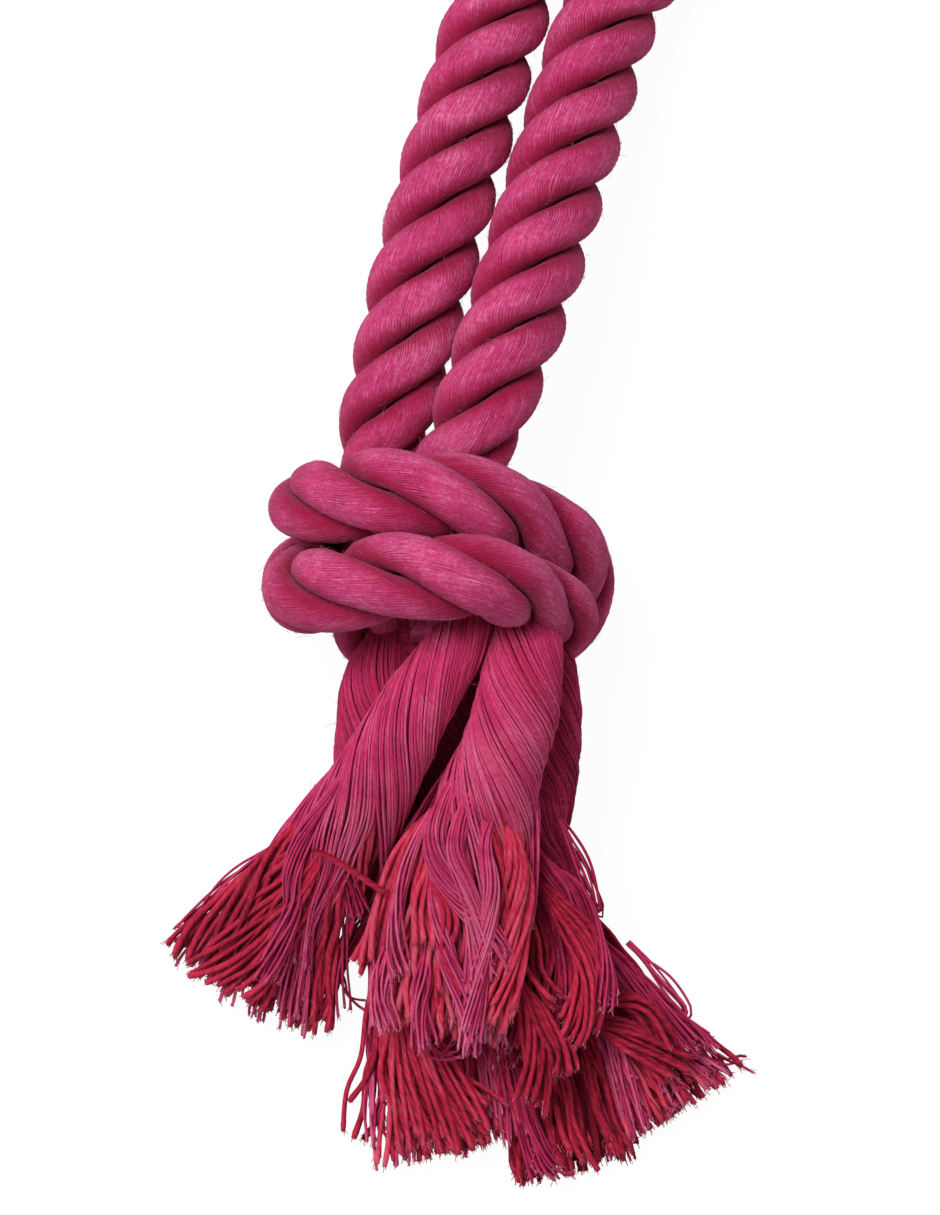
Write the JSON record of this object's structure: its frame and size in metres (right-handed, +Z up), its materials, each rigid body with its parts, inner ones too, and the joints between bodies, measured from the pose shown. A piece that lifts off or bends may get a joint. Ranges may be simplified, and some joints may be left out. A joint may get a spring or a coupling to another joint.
{
  "type": "rope dog toy",
  "caption": "Tug toy of thick laid cotton rope, doubled into a hand loop, tied in a doubled overhand knot, its ends unlaid into frayed tassels.",
  "frame": {"origin": "on the floor under the middle of the toy's box", "axes": "+Z up from the floor the toy lies on, +Y from the tassels along the rope to the hand loop"},
  "size_m": [0.1888, 0.414, 0.083],
  "materials": {
    "laid_cotton_rope": "matt raspberry dyed cotton, fine yarns along the strands",
    "cut_cotton_ends": "matt raspberry and coral red cotton yarns, frayed"
  },
  "bodies": {
    "root": {"left_knot_strand_1": "laid_cotton_rope", "left_knot_strand_2": "laid_cotton_rope", "left_knot_strand_3": "laid_cotton_rope", "left_leg_strand_1": "laid_cotton_rope", "left_leg_strand_2": "laid_cotton_rope", "left_leg_strand_3": "laid_cotton_rope", "loop_strand_1": "laid_cotton_rope", "loop_strand_2": "laid_cotton_rope", "loop_strand_3": "laid_cotton_rope", "right_knot_strand_1": "laid_cotton_rope", "right_knot_strand_2": "laid_cotton_rope", "right_knot_strand_3": "laid_cotton_rope", "right_leg_strand_1": "laid_cotton_rope", "right_leg_strand_2": "laid_cotton_rope", "right_leg_strand_3": "laid_cotton_rope", "tassel_back_left": "cut_cotton_ends", "tassel_back_middle": "cut_cotton_ends", "tassel_back_right": "cut_cotton_ends", "tassel_front_left": "cut_cotton_ends", "tassel_front_middle": "cut_cotton_ends", "tassel_middle_right": "cut_cotton_ends"}
  },
  "joints": []
}
